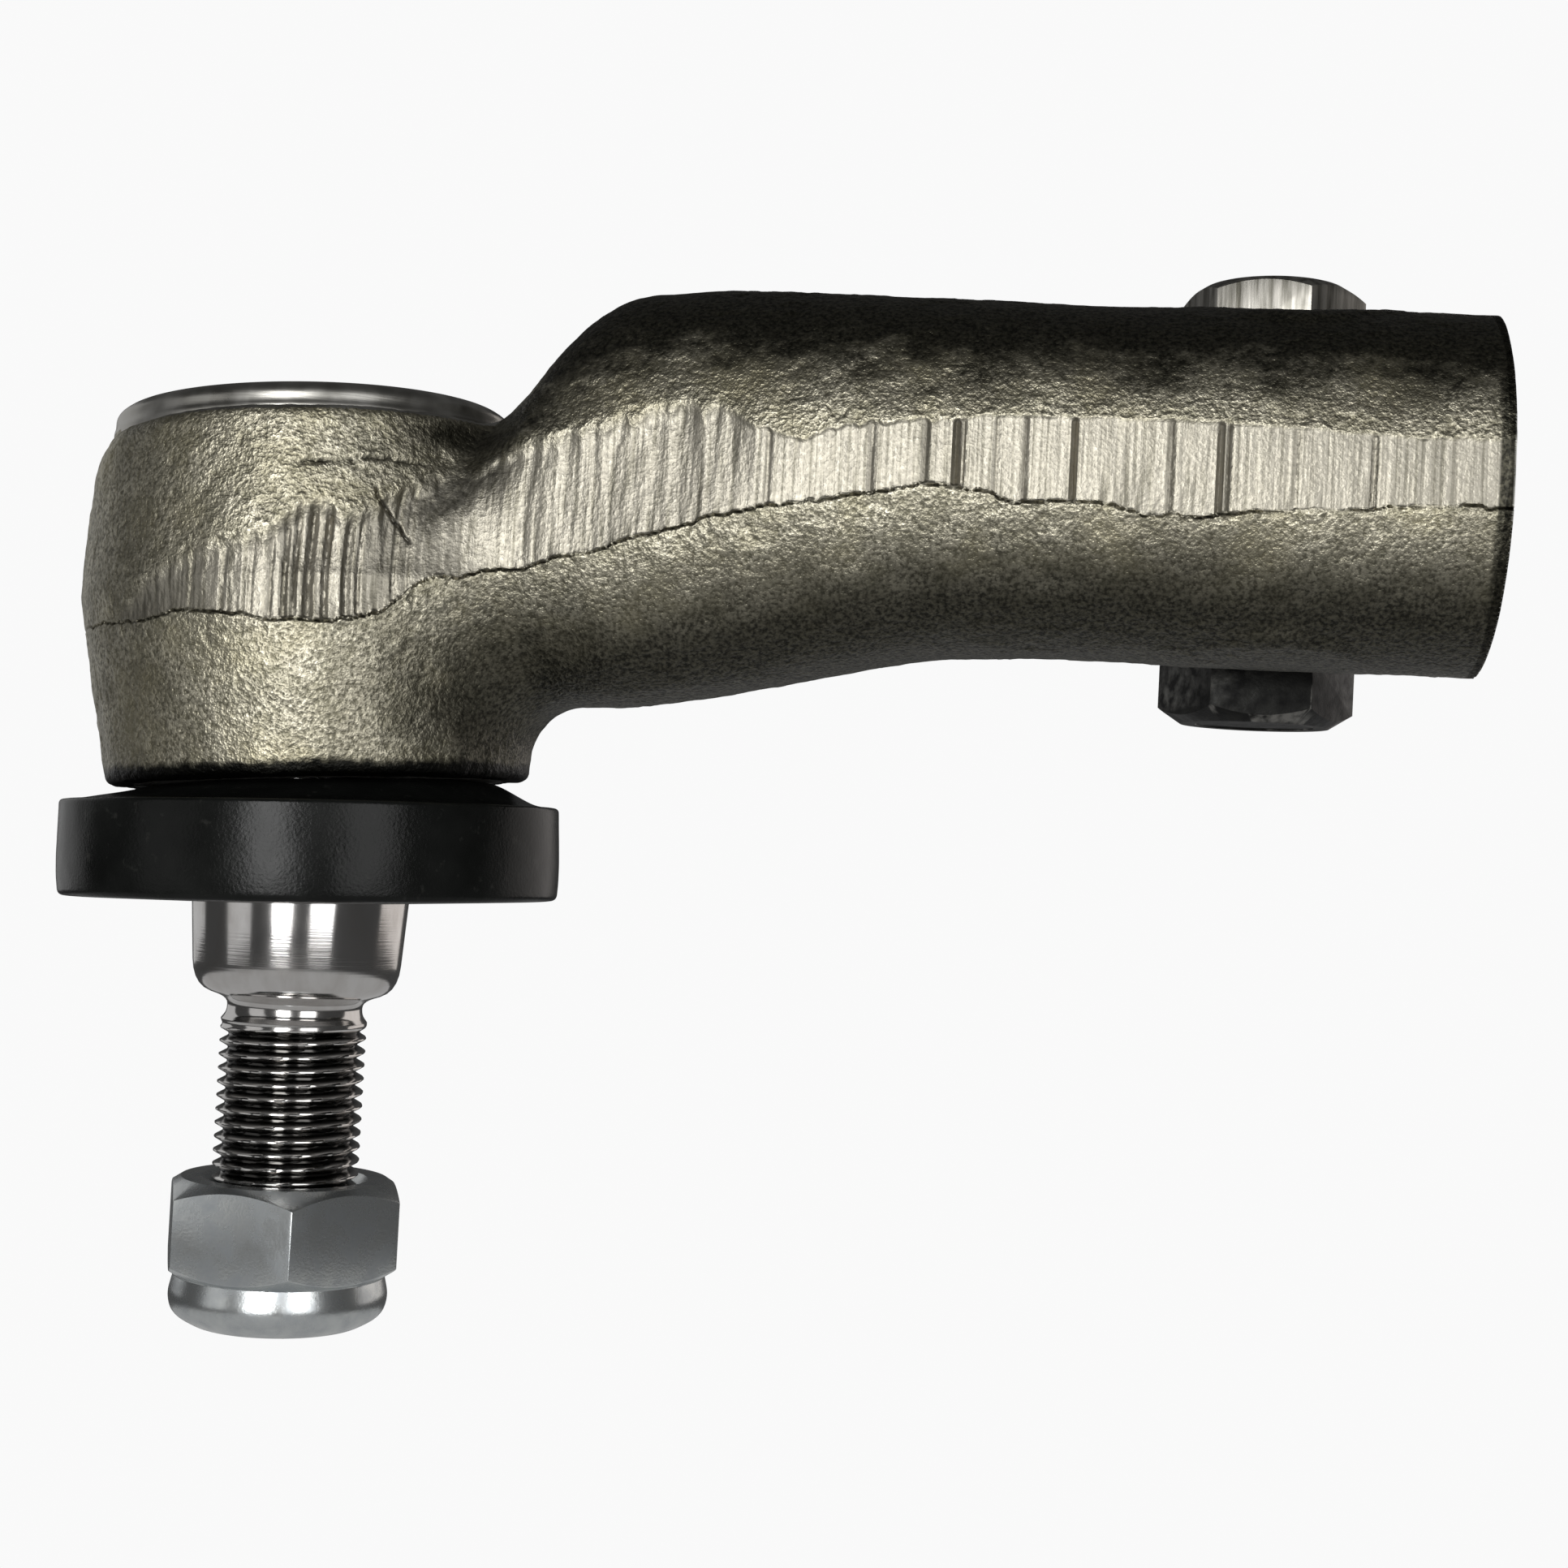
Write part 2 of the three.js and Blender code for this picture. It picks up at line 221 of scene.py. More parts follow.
def turned(profile, facets=144, ring=False, thread=None):
    """A profile turned about +Z. A ring's profile closes on itself; any other starts and ends on
    the axis. A thread cuts a helical groove in the profile's points that lie at its radius."""
    profile = np.array(profile, float)
    turn = np.linspace(0, 2 * math.pi, facets, endpoint=False)
    r, z = profile[:, :1] + 0 * turn, profile[:, 1:] + 0 * turn
    if thread:
        phase = (z / thread["pitch"] - turn / (2 * math.pi)) % 1
        groove = np.clip((0.88 - np.abs(2 * phase - 1)) / 0.7, 0, 1)
        on_wall = np.abs(r - thread["r"]) < 1e-6
        r = r - np.where(on_wall, groove_depth(z, thread) * groove, 0)
    grid = np.stack([r * np.cos(turn), r * np.sin(turn), z], axis=2)
    rows = len(profile)
    index = np.arange(rows * facets).reshape(rows, facets)
    verts = grid.reshape(-1, 3)
    if ring:
        index = np.vstack([index, index[:1]])
    else:
        index[0], index[-1] = index[0, 0], index[-1, 0]
    faces = [tuple(dict.fromkeys(q)) for q in ring_quads(index)]
    return compact(verts, [f for f in faces if len(f) > 2])


def ring_quads(index):
    """The quads between each ring of vertex numbers and the next."""
    return np.stack([
        index[:-1], np.roll(index[:-1], -1, 1), np.roll(index[1:], -1, 1), index[1:],
    ], axis=2).reshape(-1, 4).tolist()


def compact(verts, faces):
    """Drops the vertices that no face uses."""
    used = sorted({v for f in faces for v in f})
    new = {v: i for i, v in enumerate(used)}
    return verts[used], [tuple(new[v] for v in f) for f in faces]


def at_ball(shape, cant=0.0):
    """Leans a shape made round the ball's centre and takes it to the ball."""
    verts, faces = shape
    lean = np.array(Matrix.Rotation(-cant, 3, "Y"))
    return verts @ lean.T + BALL, faces


def moved(shape, offset):
    return shape[0] + np.array(offset, float), shape[1]


def together(*shapes):
    """Several closed shapes as one."""
    verts, faces = np.zeros((0, 3)), []
    for more, loops in shapes:
        faces += [tuple(v + len(verts) for v in loop) for loop in loops]
        verts = np.vstack([verts, more])
    return verts, faces


def along_x(shape):
    """Turns a shape made along +Z so that it runs along +X."""
    verts, faces = shape
    return verts @ np.array([[0, 0, -1], [0, 1, 0], [1, 0, 0]]), faces


def block(low, high):
    """A box between two corners, as a cutter."""
    x, y, z = zip(low, high)
    verts = np.array(list(itertools.product(x, y, z)), float)
    return verts, [(0, 1, 3, 2), (4, 6, 7, 5), (0, 4, 5, 1), (2, 3, 7, 6), (0, 2, 6, 4), (1, 5, 7, 3)]


def prism(sides, corner, low, high, turn):
    """An upright prism with its first corner at turn degrees."""
    angle = np.radians(turn) + np.arange(sides) * 2 * math.pi / sides
    ring = np.stack([corner * np.cos(angle), corner * np.sin(angle)], 1)
    verts = np.vstack([np.c_[ring, np.full(sides, low)], np.c_[ring, np.full(sides, high)]])
    walls = [(i, (i + 1) % sides, sides + (i + 1) % sides, sides + i) for i in range(sides)]
    return verts, [tuple(range(sides))[::-1], tuple(range(sides, 2 * sides)), *walls]


def combine(piece, operation, *shapes):
    """Cuts, joins or intersects a piece with closed shapes."""
    for i, shape in enumerate(shapes):
        tool = make(f"tool_{i}", *shape)
        modifier = piece.modifiers.new("combine", "BOOLEAN")
        modifier.operation, modifier.solver, modifier.object = operation, "MANIFOLD", tool
        apply_modifiers(piece)
        bpy.data.objects.remove(tool)
    return piece


def apply_modifiers(piece):
    bpy.context.view_layer.update()
    graph = bpy.context.evaluated_depsgraph_get()
    mesh = bpy.data.meshes.new_from_object(piece.evaluated_get(graph))
    piece.modifiers.clear()
    piece.data = mesh


def ease_edges(piece, width, angle=25, segments=2):
    """Breaks a piece's sharp edges."""
    modifier = piece.modifiers.new("ease", "BEVEL")
    modifier.width, modifier.segments = width * MM, segments
    modifier.limit_method, modifier.angle_limit = "ANGLE", math.radians(angle)
    apply_modifiers(piece)
    finish_edges(piece)
    return piece


def coordinates(piece):
    """A piece's vertices in millimetres."""
    flat = np.zeros(3 * len(piece.data.vertices))
    piece.data.vertices.foreach_get("co", flat)
    return flat.reshape(-1, 3) / MM


def set_coordinates(piece, verts):
    piece.data.vertices.foreach_set("co", (verts * MM).ravel())
    piece.data.update()


def shift(piece, offset):
    set_coordinates(piece, coordinates(piece) + offset)


def dressed(piece, name, *materials):
    """Names a piece made from several shapes and gives it its own materials."""
    piece.name = name
    piece.data.materials.clear()
    for material in materials:
        piece.data.materials.append(material)
    return piece


def paint(piece, name, values):
    """Stores a number on each vertex for the materials."""
    layer = piece.data.attributes.get(name) or piece.data.attributes.new(name, "FLOAT", "POINT")
    layer.data.foreach_set("value", np.asarray(values, np.float32))


# ---- the forging's form ----

crest = smooth_curve((-114, -9), (-106, -1), (-101.5, 7.5), (-97, 14), (-92, 17.9), (-85, 19.3),
                     (-70, 19.5), (-50, 19), (-25, 19), (2, 19))
belly = smooth_curve((-114, -29), (-104, -28), (-97, -26.6), (-88, -25.8), (-78, -24),
                     (-66, -21.3), (-57, -19.5), (-50, -19), (-25, -19), (2, -19))
parting = smooth_curve((-150, -18), (-120, -17), (-113, -14), (-104, -9.5), (-92, -6),
                       (-80, -3.6), (-68, -1.4), (-60, -0.8), (2, -0.6))


def socket_polar(points):
    """Radius from the socket's axis and height along it, from the ball's centre."""
    off = points - BALL
    height = off @ SOCKET_AXIS
    return np.sqrt(np.maximum(np.sum(off * off, 1) - height ** 2, 0)), height


def soft_max(a, b, ease):
    gap = np.maximum(ease - np.abs(a - b), 0) / ease
    return np.maximum(a, b) + gap * gap * ease / 4


def soft_min(a, b, ease):
    return -soft_max(-a, -b, ease)


def boss_form(points):
    r, h = socket_polar(points)
    up = (BOSS["top"] - BOSS["part"]) / (BOSS["high"] - BOSS["split"])
    down = (BOSS["bottom"] - BOSS["part"]) / (BOSS["low"] - BOSS["split"])
    above = h > BOSS["split"]
    side = r - BOSS["part"] - np.where(above, up, down) * (h - BOSS["split"])
    far_side = np.clip((BALL[0] - points[:, 0]) / BOSS["part"], 0, 1)
    shoulder = 1.2 + 5.5 * far_side ** 2
    return soft_max(soft_max(side, h - BOSS["high"], shoulder), BOSS["low"] - h, 1.0)


def arm_form(points):
    """The cranked arm and the barrel: half ellipses above and below the parting line."""
    x, y, z = points.T
    middle = parting(x)
    depth = 17.5 + 1.4 * smoothstep(-114, -60, x)
    tall = np.where(z > middle, crest(x) - middle, middle - belly(x))
    q = np.maximum(np.hypot(y / depth, (z - middle) / tall), 0.2)
    slope = np.hypot(y / depth ** 2, (z - middle) / tall ** 2) / q
    return np.maximum((q - 1) / slope, -113 - x)


def ear_form(points):
    x, y, z = points.T
    along = np.clip(y, 2, BOLT[1])
    wall = np.hypot(x - BOLT[0], y - along) - EAR["r"]
    return soft_max(wall, np.abs(z) - EAR["top"] - 0.4, 2)


def forging_form(points):
    """Signed distance, roughly, from the forging's skin. It is negative inside."""
    body = soft_min(boss_form(points), arm_form(points), 6)
    return soft_min(body, ear_form(points), 3)


def slopes(form, points, step=0.05):
    shift = np.eye(3) * step
    grad = np.stack([form(points + s) - form(points - s) for s in shift], 1) / (2 * step)
    return grad / np.maximum(np.linalg.norm(grad, axis=1), 1e-6)[:, None]


# ---- the trimmed flash line, the cracks and the skin ----

# the trimmed land's lower and upper edges, as heights against X
land_low = smooth_curve((-152, -21), (-136, -20.5), (-129.5, -19.5), (-124, -20), (-118, -19.9),
                        (-114.7, -19.5), (-112.2, -18.7), (-110.3, -17.2), (-108.8, -15.6),
                        (-106.8, -14.7), (-103, -13.9), (-97.7, -12.8), (-89.7, -10.6), (-78, -7),
                        (-71, -5.7), (-62, -4.2), (-56, -3.4), (-48, -4.6), (-40, -4.5),
                        (-34.6, -5.5), (-26, -5.1), (-15, -4.3), (-4, -3.7), (2, -3.5))
land_high = smooth_curve((-152, -20.4), (-140, -19), (-136, -15.6), (-134, -14), (-131, -12.9),
                         (-126, -11.6), (-123, -10.4), (-120.6, -8), (-118, -7.5), (-115.8, -8.8),
                         (-113.5, -7.2), (-111.4, -5.2), (-108, -3.4), (-100, 0.2), (-94, 2),
                         (-85, 4.1), (-78, 4.2), (-73, 0.9), (-65, 2.3), (2, 2.8))
# the deeper upright marks in the land: X, half width and depth
GROOVES = [(-131, 0.35, 0.12), (-127.5, 0.35, 0.15), (-124.5, 0.3, 0.16), (-122.6, 0.35, 0.2),
           (-121.2, 0.4, 0.34), (-120.2, 0.35, 0.3), (-118.8, 0.55, 0.6), (-117.2, 0.4, 0.5),
           (-115.2, 0.5, 0.55), (-114.1, 0.3, 0.32), (-110.9, 0.3, 0.25),
           (-109.8, 0.3, 0.2), (-73.5, 0.4, 0.15), (-63, 0.35, 0.15), (-57.6, 0.4, 0.22),
           (-54.6, 0.35, 0.34), (-53.9, 0.25, 0.26), (-50.5, 0.3, 0.15), (-47.6, 0.25, 0.18),
           (-42.8, 0.35, 0.34), (-33.2, 0.3, 0.18), (-28.4, 0.4, 0.3), (-27.6, 0.25, 0.2),
           (-21, 0.25, 0.12), (-13.5, 0.35, 0.25)]


def flat(points):
    """Points with their height taken out, so that noise runs in upright streaks."""
    return points * [1, 1, 0.03]


def land_edges(points):
    """The ragged lower and upper edges of the trimmed land at each point."""
    x, streaks = points[:, 0], flat(points)
    low = land_low(x) + 0.4 * noise(streaks, 3.1, 3) + 0.22 * noise(streaks, 0.9, 4)
    torn = 1 - 0.7 * smoothstep(-62, -48, x)
    high = land_high(x) + torn * (0.8 * noise(streaks, 4.3, 5) + 0.6 * noise(streaks, 1.3, 6))
    return low, high


def on_flank(points, outward):
    """1 where the skin faces sideways and isn't on the ears, 0 elsewhere."""
    side = smoothstep(0.6, 0.8, np.hypot(outward[:, 0], outward[:, 1]))
    return side * (1 - smoothstep(-54, -48, points[:, 0]) * (points[:, 1] > 0))


def land_mask(points, outward):
    """1 on the land that the trimming press left, 0 off it."""
    low, high = land_edges(points)
    z = points[:, 2]
    fade = 0.4 + 2.2 * smoothstep(-72, -84, points[:, 0])
    inside = smoothstep(-0.1, 0.15, z - low) * smoothstep(-0.15, fade, high - z)
    return inside * on_flank(points, outward)


def crack_depth(points, outward):
    """How deep the fine dark line under the land is, 0 to 1. It is pressed into the skin, and the
    materials paint it near black as painted shade along the land's step.
    """
    low, _ = land_edges(points)
    width = np.maximum(0.16 + 0.1 * noise(points, 6, 9), 0.06)
    strength = smoothstep(-0.5, 0.4, noise(points, 9, 10) + 0.4)
    line = np.clip(1 - np.abs(points[:, 2] - low + 0.15) / width, 0, 1)
    return on_flank(points, outward) * strength * line


def fold_depth(points):
    """The forging folds where the arm leaves the boss, 0 to 1. They are pressed into the skin, and the
    materials paint them near black as painted shade.
    """
    x, y, z = points.T
    along = np.clip((z + 5.8) / -5.5, 0, 1)
    slant = -113.4 + 3.3 * along ** 1.4 + 0.3 * noise(points, 1.5, 11)
    upright = np.clip(1 - np.abs(x - slant) / 0.3, 0, 1)
    upright = upright * smoothstep(-11.7, -10.9, z) * smoothstep(-5.4, -6.4, z)
    drop = 0.5 * smoothstep(-112.4, -111.8, x) + 0.25 * noise(flat(points), 2, 12)
    level = np.clip(1 - np.abs(z + 4.1 - 0.155 * (x + 121) + drop) / 0.28, 0, 1)
    level = level * smoothstep(-121.8, -120, x) * smoothstep(-108.5, -110, x)
    return np.maximum(upright, 0.8 * level) * (y < 0)


def shear_marks(points):
    """Depth in millimetres of the upright marks in the land."""
    streaks = flat(points)
    fine = 0.04 * np.abs(noise(streaks, 0.6, 13)) + 0.02 * np.maximum(noise(streaks, 1.7, 14), 0)
    x = points[:, 0]
    deep = sum(d * np.clip(1 - np.abs(x - at) / w, 0, 1) ** 0.7 for at, w, d in GROOVES)
    boss = 1 - smoothstep(-108, -104, x)
    return fine * (1 + boss) + deep * (1 - 0.35 * boss)


def skin_relief(points):
    """Height in millimetres of the scaled, shot-blasted forging skin."""
    wave = 0.13 * noise(points, 14, 20) + 0.08 * noise(points, 5, 21)
    peel = 0.03 * noise(points, 2.3, 22) + 0.045 * noise(points, 1.0, 23)
    pits = -0.12 * smoothstep(0.5, 0.85, noise(points, 1.7, 24))
    ragged = noise(points * [0.6, 1, 1], 3.2, 25) + 0.4 * noise(points, 1.2, 27)
    flakes = 0.08 * smoothstep(0.05, 0.2, ragged) * smoothstep(-0.3, 0.2, noise(points, 11, 26))
    return wave + peel + pits + flakes


def onto_form(points, rounds):
    """Moves points onto the forging's skin, at most a millimetre in each round."""
    for _ in range(rounds):
        step = np.clip(forging_form(points), -1, 1)
        points = points - slopes(forging_form, points) * step[:, None]
    return points


def arm_tube():
    """A closed tube that follows the arm and the barrel."""
    facets = 96
    turn = np.linspace(0, 2 * math.pi, facets, endpoint=False)
    rings = []
    for x in np.linspace(-112, 1, 90):
        middle = parting(x)
        tall = np.where(np.sin(turn) > 0, crest(x) - middle, middle - belly(x))
        rings.append(np.c_[np.full(facets, x), 18 * np.cos(turn), middle + tall * np.sin(turn)])
    index = np.arange(len(rings) * facets).reshape(-1, facets)
    ends = [tuple(index[0][::-1]), tuple(index[-1])]
    return np.vstack(rings), [*map(tuple, ring_quads(index)), *ends]


def forging_blank():
    """The forging before machining: a dense, even skin on the form."""
    boss = at_ball(turned([
        (0, BOSS["low"]), (BOSS["bottom"], BOSS["low"]), (BOSS["part"], 0),
        (BOSS["top"], BOSS["high"]), (0, BOSS["high"]),
    ]), SOCKET_CANT)
    ears = block((BOLT[0] - EAR["r"], 2, -EAR["top"]), (BOLT[0] + EAR["r"], BOLT[1] + 8, EAR["top"]))
    blank = make("housing_forging", *together(arm_tube(), boss, ears))
    remesh = blank.modifiers.new("remesh", "REMESH")
    remesh.mode, remesh.voxel_size = "VOXEL", SKIN_STEP * MM
    apply_modifiers(blank)
    even = blank.modifiers.new("even", "SMOOTH")
    even.factor, even.iterations = 0.5, 12
    apply_modifiers(blank)
    set_coordinates(blank, onto_form(coordinates(blank), 6))
    refine_land(blank)
    return blank


def refine_land(blank):
    """Halves the mesh's edges on the land and beside it, where the marks are finest."""
    mesh = bmesh.new()
    mesh.from_mesh(blank.data)
    centres = np.array([f.calc_center_median() for f in mesh.faces]) / MM
    outward = slopes(forging_form, centres)
    low, high = land_low(centres[:, 0]) - 1.5, land_high(centres[:, 0]) + 1.5
    near = (centres[:, 2] > low) & (centres[:, 2] < high) & (np.abs(outward[:, 2]) < 0.75)
    edges = {e for f, wanted in zip(mesh.faces, near) if wanted for e in f.edges}
    bmesh.ops.subdivide_edges(mesh, edges=list(edges), cuts=1, use_grid_fill=True)
    mesh.to_mesh(blank.data)
    mesh.free()


def emboss_skin(blank):
    """Gives the blank its relief, its trimmed land and its cracks."""
    points = onto_form(coordinates(blank), 2)
    outward = slopes(forging_form, points)
    land = land_mask(points, outward)
    low, high = land_edges(points)
    level = outward * [1, 1, 0]
    level /= np.maximum(np.linalg.norm(level, axis=1), 0.2)[:, None]
    z = points[:, 2]
    chord = np.clip((z - low) * (high - z), 0, None) / (2 * BARREL_R)
    inward = land * (0.8 * chord + shear_marks(points) + 0.05)
    points = points - level * inward[:, None]
    relief = skin_relief(points) * (1 - 0.85 * land)
    relief -= 0.4 * crack_depth(points, outward) + 0.35 * fold_depth(points)
    set_coordinates(blank, points + outward * relief[:, None])


# ---- housing ----

def socket_hollow():
    throat = math.degrees(math.asin(MOUTH["throat"] / SEAT_R))
    return at_ball(turned([
        (0, BOSS["low"] - 1), (MOUTH["flare"] + 0.6, BOSS["low"] - 1),
        (MOUTH["flare"] + 0.6, BOSS["low"]), (MOUTH["flare"], BOSS["low"] + 0.6),
        *arc(SEAT_R, throat, 90, 24), (SEAT_R, POCKET["low"]), (POCKET["r"], POCKET["low"]),
        (POCKET["r"], POCKET["high"]), (POCKET["lip"] + 0.6, POCKET["high"]),
        (POCKET["lip"], POCKET["high"] + 0.4), (POCKET["lip"] + 0.5, RIM["high"] + 1),
        (0, RIM["high"] + 1),
    ], 192), SOCKET_CANT)


def rim_ring():
    """The machined lip that is rolled over the cover."""
    low, foot, top = BOSS["high"] - 3, BOSS["high"] + 0.2, RIM["high"]
    return at_ball(turned(rounded(
        (0, low), (RIM["r"] + 0.3, low), (RIM["r"] + 0.3, foot, 0.3), (RIM["r"] + 0.1, foot + 0.5, 0.4),
        (RIM["r"], top - 0.9, 0.6), (RIM["r"] - 1.3, top, 0.7), (0, top),
    ), 192), SOCKET_CANT)


def shoulder_cut():
    """Faces the boss down to the shoulder that the rim stands on."""
    low = BOSS["high"] - 0.35
    return at_ball(turned([
        (0, low), (BOSS["top"] - 0.9, low), (BOSS["top"] + 0.4, low + 2.6),
        (BOSS["top"] + 0.4, low + 9), (0, low + 9),
    ], 192), SOCKET_CANT)


def rod_bore():
    r, top = BORE["r"] + BORE["thread"], -BORE["chamfer"]
    start, end = -BORE["depth"] + 4, top
    steps = int((end - start) / BORE["pitch"] * TURN_STEPS)
    wall = [(r, z) for z in np.linspace(start, end, steps)]
    thread = dict(r=r, depth=BORE["thread"], pitch=BORE["pitch"], start=start, end=end + 4)
    return along_x(turned([
        (0, -BORE["depth"] - BORE["point"]), (BORE["r"], -BORE["depth"]), (BORE["r"], start - 0.5),
        *wall, (r + BORE["chamfer"], 0), (r + BORE["chamfer"], 2), (0, 2),
    ], 96, thread=thread))


def clamp_cutters():
    reach = BOLT[1] + EAR["r"] + 3
    half = SLIT["width"] / 2
    along_y = np.array([[1, 0, 0], [0, 0, -1], [0, 1, 0]])
    relief, faces = turned([(0, 0), (SLIT["relief"], 0), (SLIT["relief"], reach), (0, reach)], 48)
    spot = turned(rounded(
        (0, EAR["top"]), (EAR["spot"], EAR["top"], 0.8), (EAR["spot"], 40), (0, 40),
    ), 96)
    hole = turned([(0, -20), (EAR["hole"], -20), (EAR["hole"], 20), (0, 20)], 64)
    return [
        block((-SLIT["length"], 0.01, -half), (3, reach, half)),
        moved((relief @ along_y, faces), (-SLIT["length"], 0, 0)),
        moved(hole, AT_BOLT),
        moved(spot, AT_BOLT),
        moved((spot[0] * [1, -1, -1], spot[1]), AT_BOLT),
        block((0, -40, -40), (5, 40, 40)),
    ]


def end_chamfer():
    """A cutter that takes the barrel's outer edge off."""
    wide = BARREL_R + 6
    ring = turned([
        (BARREL_R - 0.9, 0.4), (BARREL_R - 0.9, 0), (BARREL_R + 0.4, -1.3), (wide, -1.3), (wide, 0.4),
    ][::-1], 160, ring=True)
    return along_x(ring)


def machined(points):
    """True where a tool has cut the forging. Each cut's zone reaches a little past its tool."""
    x, y, z = points.T
    r, h = socket_polar(points)
    bolt = np.hypot(x - BOLT[0], y - BOLT[1])
    socket = (r < POCKET["r"] + 0.3) & (h < RIM["high"] + 4.1) & (h > BOSS["low"] - 0.5) & (x < -100)
    top = (h > BOSS["high"] - 0.45) & (r < BOSS["top"] + 1) & (x < -102)
    bore = (np.hypot(y, z) < BORE["r"] + 2.3) & (x > -75)
    slit = (np.abs(z) < SLIT["width"] / 2 + 0.1) & (y > 5) & (x > -50)
    spots = (bolt < EAR["spot"] + 0.1) & (np.abs(np.abs(z) - EAR["top"]) < 0.1)
    return socket | top | bore | slit | spots | (bolt < EAR["hole"] + 0.2) | (x > -0.1)


def scale_and_shade_mask(points, outward):
    """1 where the skin is painted dark. Above and below the parting line, where the skin faces up or
    down, dark scaled skin is deepened by painted shade; the crook between the arm and the boss and the
    recess above it carry painted shade; the barrel's end is dark scaled skin."""
    x, y, z = points.T
    on_arm = smoothstep(-112, -98, x)
    mottle = 0.05 * noise(points, 7, 30) + 0.08 * noise(points * [0.5, 1, 1], 2.4, 31)
    mottle += 0.06 * noise(points, 0.9, 32)
    up = outward[:, 2] + mottle
    # painted shade: skin that faces up or down is painted darker, as less light falls on it; dark scaled
    # skin lies there too
    over = on_arm * smoothstep(0.32, 0.62, up + 0.8 * mottle)
    under = on_arm * smoothstep(0.26, 0.8, -up + 0.4 * mottle)
    # painted shade in the crook between the arm and the boss and in the recess above it
    crook = 0.9 * smoothstep(15, 5, np.hypot((x + 97) / 1.3, z + 27) + 25 * mottle)
    recess = smoothstep(1.3, 0.5, np.hypot((x + 105.5) / 6, (z - 0.6) / 1.9) + 3 * mottle)
    end_lip = smoothstep(-1.7, -1.3, x)
    marks = [over, under, crook, 0.9 * recess * (y < 0), end_lip]
    return np.clip(np.max(marks, axis=0), 0, 1)


def foot_shade_mask(points):
    """1 on the ragged black band of painted shade round the boss's foot."""
    _, h = socket_polar(points)
    ragged = 0.25 * noise(points, 5, 34) + 0.3 * noise(points, 0.9, 35)
    return smoothstep(-18, -18.8, h + ragged) * (points[:, 0] < -98)


def paint_forging(piece):
    """Stores where the land is, the painted shade along the cracks, the folds and the boss's foot, the
    dark scaled skin with its painted shade, and the relief height that the painted shade in the hollows
    follows.
    """
    points = coordinates(piece)
    outward = slopes(forging_form, points)
    land = land_mask(points, outward)
    # painted shade: the low parts of the relief, the skin's hollows and the land's grooves, are painted
    # darker
    shade_height = skin_relief(points) * (1 - land) - land * shear_marks(points)
    paint(piece, "land", land)
    # painted shade along the step under the land and along the folds
    paint(piece, "crease_shade", np.maximum(crack_depth(points, outward), fold_depth(points)))
    # painted shade: a ragged black band round the boss's foot
    paint(piece, "foot_shade", foot_shade_mask(points))
    paint(piece, "shade_height", smoothstep(-0.2, 0.16, shade_height))
    paint(piece, "scale_and_shade", scale_and_shade_mask(points, outward))


def build_housing():
    housing = forging_blank()
    emboss_skin(housing)
    housing.modifiers.new("split", "TRIANGULATE")
    apply_modifiers(housing)
    combine(housing, "DIFFERENCE", shoulder_cut())
    combine(housing, "UNION", rim_ring())
    combine(housing, "DIFFERENCE", socket_hollow(), rod_bore(), *clamp_cutters(), end_chamfer())
    dressed(housing, "housing_forging", forged_steel(), machined_steel())
    finish_edges(housing, 40)
    paint_forging(housing)
    centres = np.zeros(3 * len(housing.data.polygons))
    housing.data.polygons.foreach_get("center", centres)
    cut = machined(centres.reshape(-1, 3) / MM)
    housing.data.polygons.foreach_set("material_index", cut.astype(np.int32))
    return housing


# ---- materials ----

WHITE = (1, 1, 1, 1)


class Nodes:
    """Short ways to build one material's nodes."""

    def __init__(self, name, **sockets):
        self.material = bpy.data.materials.new(name)
        self.material.use_nodes = True
        self.tree = self.material.node_tree
        self.shader = self.tree.nodes["Principled BSDF"]
        for socket, value in sockets.items():
            self.shader.inputs[socket.replace("_", " ")].default_value = value

    def add(self, kind, inputs=None, **settings):
        node = self.tree.nodes.new(kind)
        for key, value in settings.items():
            setattr(node, key, value)
        for key, value in (inputs or {}).items():
            self.put(node.inputs[key], value)
        return node

    def put(self, socket, value):
        if isinstance(value, bpy.types.NodeSocket):
            self.tree.links.new(value, socket)
        else:
            socket.default_value = value

    def where(self, stretch=(1, 1, 1)):
        """The piece's own coordinates, in metres, stretched."""
        place = self.add("ShaderNodeTexCoord").outputs["Object"]
        return self.add("ShaderNodeMapping", {"Vector": place, "Scale": stretch}).outputs[0]

    def noise(self, size, detail=3, stretch=(1, 1, 1), rough=0.55):
        """Noise whose bumps are about size millimetres."""
        node = self.add("ShaderNodeTexNoise", {
            "Vector": self.where(stretch), "Scale": 1 / (size * MM),
            "Detail": detail, "Roughness": rough,
        })
        return node.outputs["Fac"]

    def spread(self, value, low, high, to_low=0.0, to_high=1.0):
        node = self.add("ShaderNodeMapRange", {
            "Value": value, "From Min": low, "From Max": high, "To Min": to_low, "To Max": to_high,
        })
        return node.outputs[0]

    def math(self, operation, a, b):
        return self.add("ShaderNodeMath", {0: a, 1: b}, operation=operation).outputs[0]

    def mix(self, share, a, b):
        node = self.add("ShaderNodeMix", data_type="RGBA")
        self.put(node.inputs["Factor"], share)
        self.put(node.inputs["A"], a)
        self.put(node.inputs["B"], b)
        return node.outputs["Result"]

    def painted(self, name):
        return self.add("ShaderNodeAttribute", attribute_name=name).outputs["Fac"]

    def bump(self, height, depth, below=None):
        """A bump of depth millimetres, on top of another bump."""
        inputs = {"Height": height, "Distance": depth * MM, "Strength": 1.0}
        if below is not None:
            inputs["Normal"] = below
        return self.add("ShaderNodeBump", inputs).outputs["Normal"]

    def finish(self, colour, roughness=None, normal=None):
        sockets = {"Base Color": colour, "Roughness": roughness, "Normal": normal}
        for name, value in sockets.items():
            if value is not None:
                self.put(self.shader.inputs[name], value)
        return self.material


def grey(value, warmth=0.0):
    return (value * (1 + warmth), value, value * (1 - warmth), 1)


